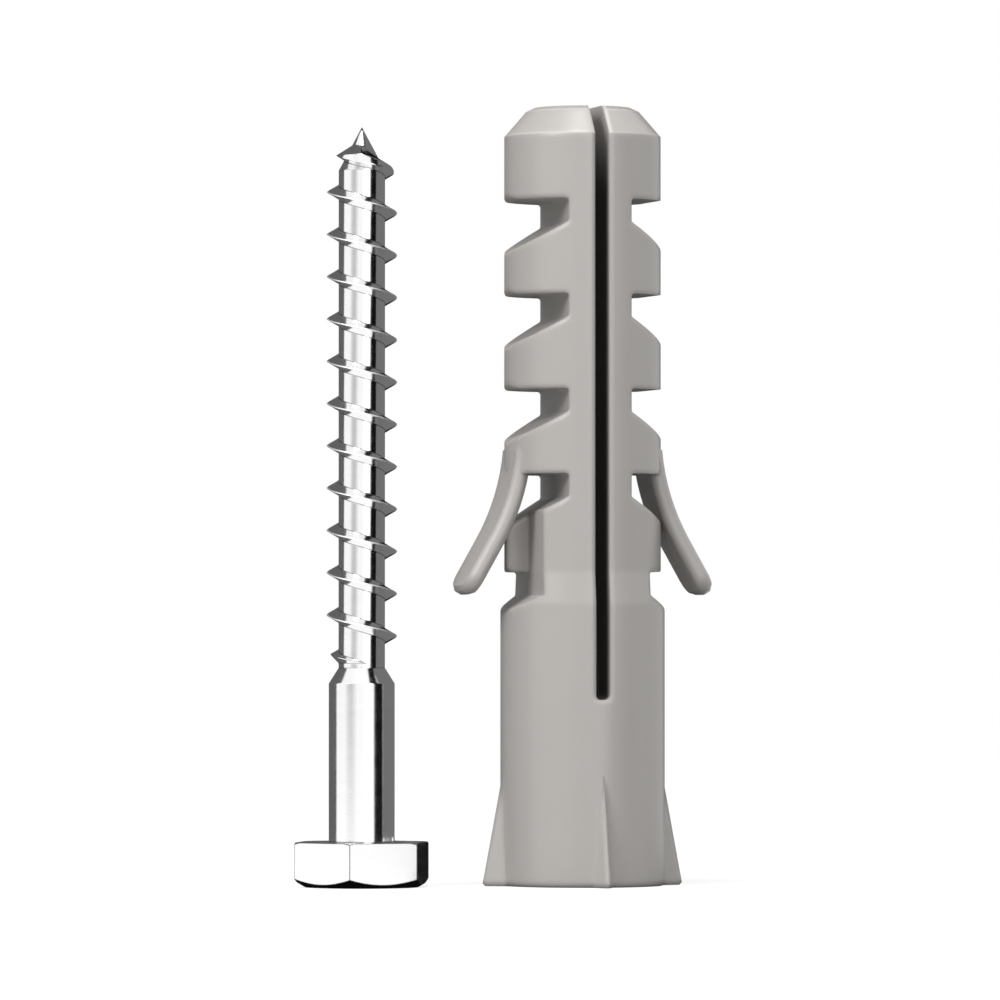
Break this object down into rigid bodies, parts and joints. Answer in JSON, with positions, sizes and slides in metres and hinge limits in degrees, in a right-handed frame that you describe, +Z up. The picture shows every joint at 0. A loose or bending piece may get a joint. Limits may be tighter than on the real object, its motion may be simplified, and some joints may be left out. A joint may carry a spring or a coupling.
{
  "type": "hex screw with wall plug",
  "caption": "Coarse-threaded hex head screw beside the split nylon wall plug it is driven into, with saw teeth, spring wings and mouth fins.",
  "frame": {"origin": "centre of the plug's mouth, on the plane that the plug and the screw's head stand on", "axes": "+Z up along the plug's axis to its tip; the plug's slot faces -Y and +Y, its wings point to -X and +X; the screw stands on the -X side, its axis parallel to Z"},
  "size_m": [0.0384, 0.0186, 0.07],
  "materials": {
    "zinc_steel": "bright zinc plate",
    "nylon": "satin as moulded"
  },
  "bodies": {
    "root": {"hex_screw": "zinc_steel", "wall_plug": "nylon"}
  },
  "joints": []
}
